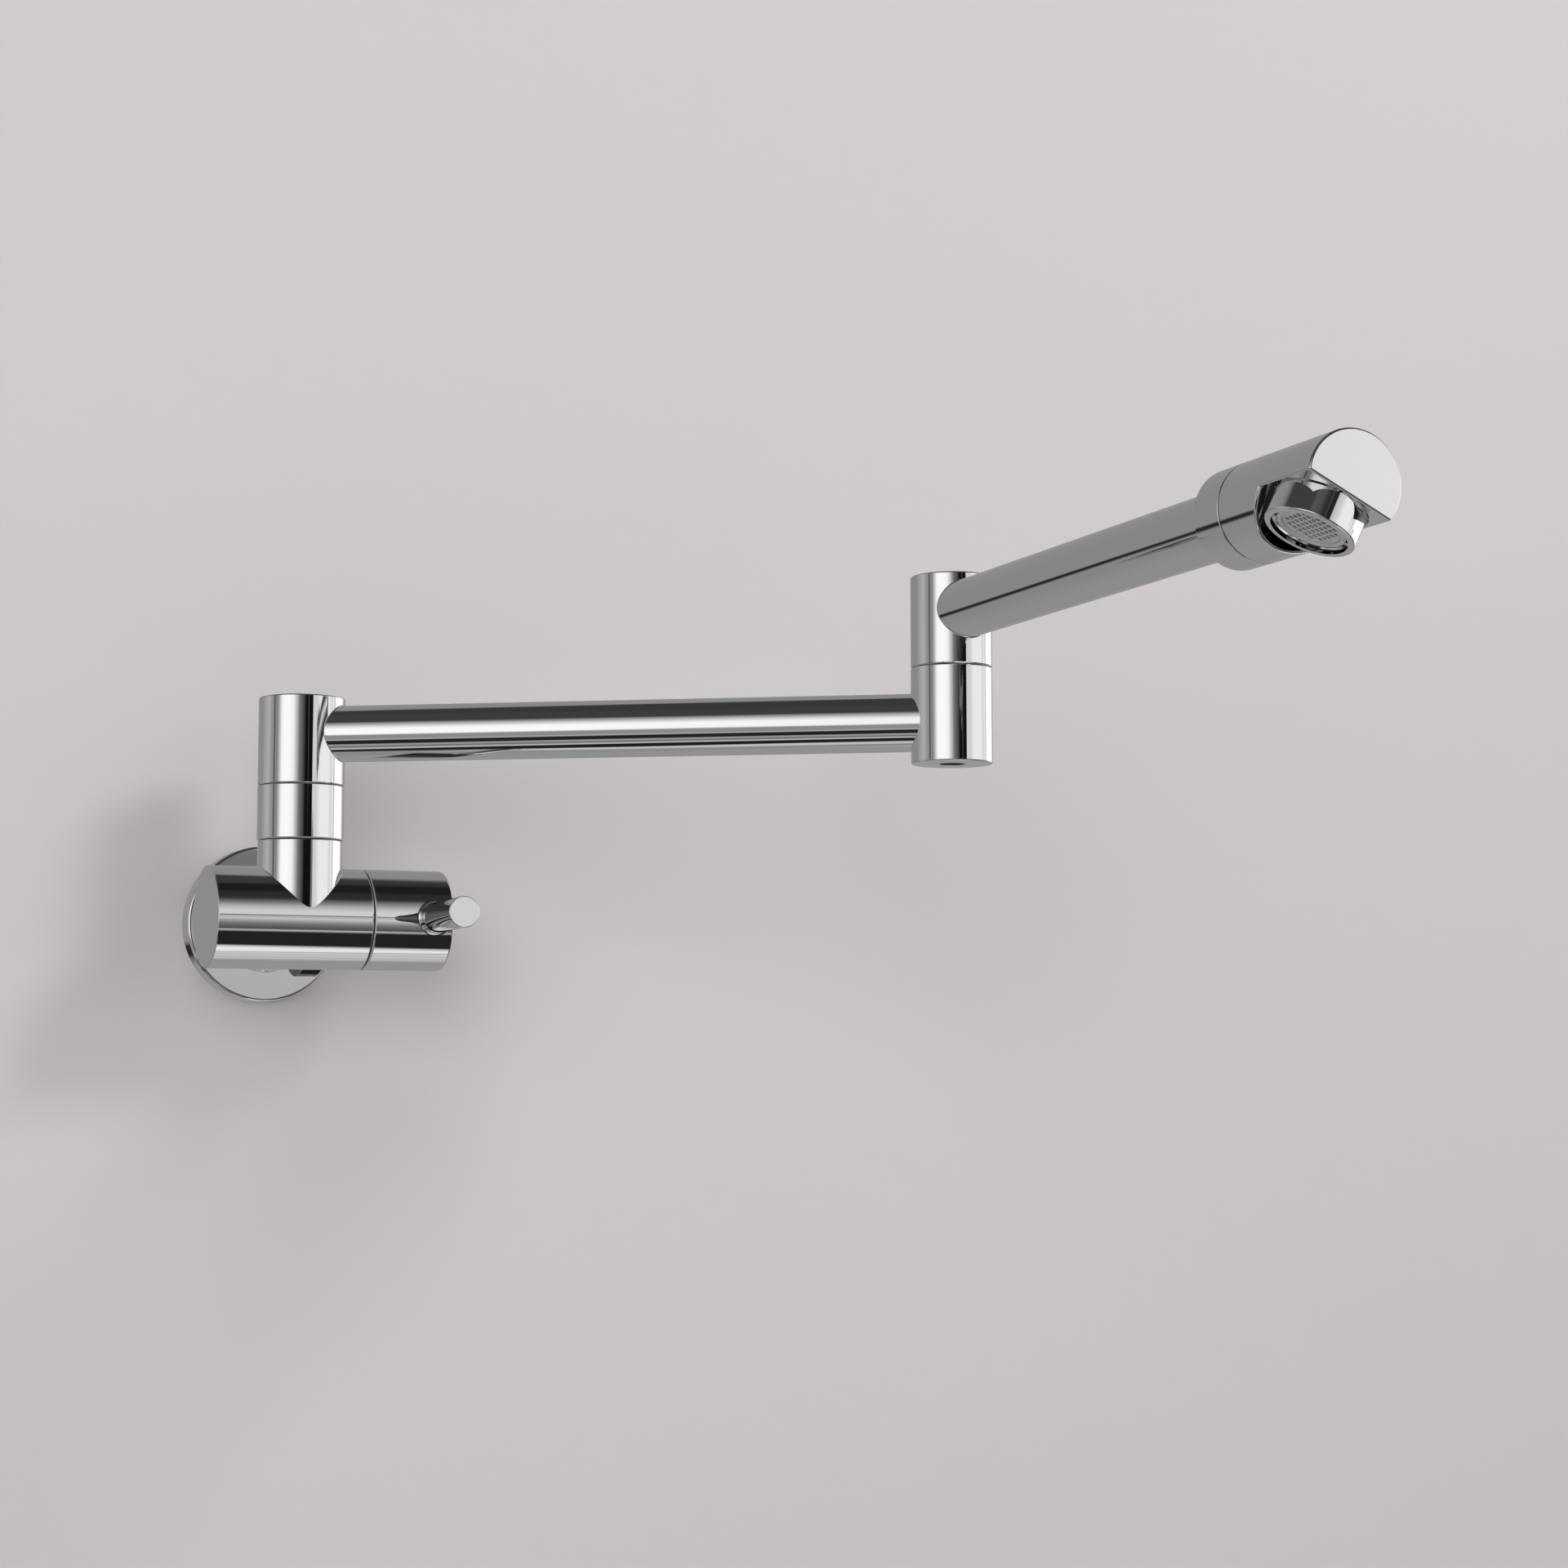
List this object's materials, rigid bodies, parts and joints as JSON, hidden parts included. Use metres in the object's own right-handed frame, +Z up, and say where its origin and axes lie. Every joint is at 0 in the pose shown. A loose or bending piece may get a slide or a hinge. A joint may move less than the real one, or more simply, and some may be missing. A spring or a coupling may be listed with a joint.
{
  "type": "wall mounted pot filler",
  "caption": "Wall mounted pot filler: round flange, horizontal quarter-turn valve with a pin lever, post, folding arms with elbow, and a swivel spout head with aerator.",
  "frame": {"origin": "on the wall face, on the axis of the inlet thread", "axes": "+Z up, +Y into the wall along the inlet axis, +X to the right seen from the room"},
  "size_m": [0.2632, 0.4924, 0.1617],
  "materials": {
    "chrome_cast": "polished chrome plate on cast brass",
    "chrome_tube": "polished chrome plate on drawn brass tube",
    "chrome_aerator": "polished chrome plate on turned brass",
    "brass": "machined",
    "ceramic": "lapped ceramic",
    "rubber": "black nitrile",
    "stainless": "stainless steel",
    "slide_plastic": "black acetal",
    "nylon": "natural nylon",
    "aerator_plastic": "grey moulded plastic"
  },
  "bodies": {
    "valve": {"wall_flange": "chrome_cast", "flange_o_ring": "rubber", "inlet_nipple": "brass", "inlet_o_rings": "rubber", "neck_set_screw": "stainless", "valve_body": "chrome_cast", "cartridge_housing": "brass", "cartridge_o_ring": "rubber", "seat_seal": "rubber", "fixed_disc": "ceramic", "post_spindle": "brass", "post_base_seal": "rubber", "post_sleeve": "chrome_cast", "sleeve_gasket": "rubber", "post_o_rings": "rubber", "post_slide_washer": "slide_plastic", "post_screw": "stainless", "post_screw_washer": "stainless"},
    "handle": {"handle": "chrome_cast", "handle_insert": "nylon", "handle_set_screw": "stainless", "cartridge_stem": "brass", "stem_o_rings": "rubber", "stem_clip": "stainless", "moving_disc": "ceramic"},
    "arm_1": {"post_hub": "chrome_cast", "arm_1_tube": "chrome_tube", "elbow_lower_hub": "chrome_cast"},
    "arm_2": {"elbow_upper_hub": "chrome_cast", "elbow_spindle": "brass", "elbow_base_seal": "rubber", "elbow_o_rings": "rubber", "elbow_slide_washer": "slide_plastic", "elbow_screw": "stainless", "elbow_screw_washer": "stainless", "arm_2_tube": "chrome_tube", "head_collar": "chrome_cast", "head_o_rings": "rubber"},
    "head": {"spout_head": "chrome_cast", "head_set_screw": "stainless", "head_slide_washer": "slide_plastic", "aerator_ring": "chrome_aerator", "aerator_insert": "aerator_plastic", "aerator_gasket": "rubber"}
  },
  "joints": [
    {"name": "handle_turn", "type": "hinge", "parent": "valve", "child": "handle", "pos_m": [0.04, -0.0563, 0], "axis": [1, 0, 0], "range_deg": [0, 90]},
    {"name": "arm_1_swing", "type": "hinge", "parent": "valve", "child": "arm_1", "pos_m": [0, -0.0595, 0.0722], "axis": [0, 0, 1], "range_deg": [-145.4, 34.6]},
    {"name": "arm_2_swing", "type": "hinge", "parent": "arm_1", "child": "arm_2", "pos_m": [0.21155, -0.20544, 0.09285], "axis": [0, 0, 1], "continuous": true},
    {"name": "head_swivel", "type": "hinge", "parent": "arm_2", "child": "head", "pos_m": [0.20015, -0.42664, 0.1139], "axis": [-0.0515, -0.9987, 0], "continuous": true}
  ]
}
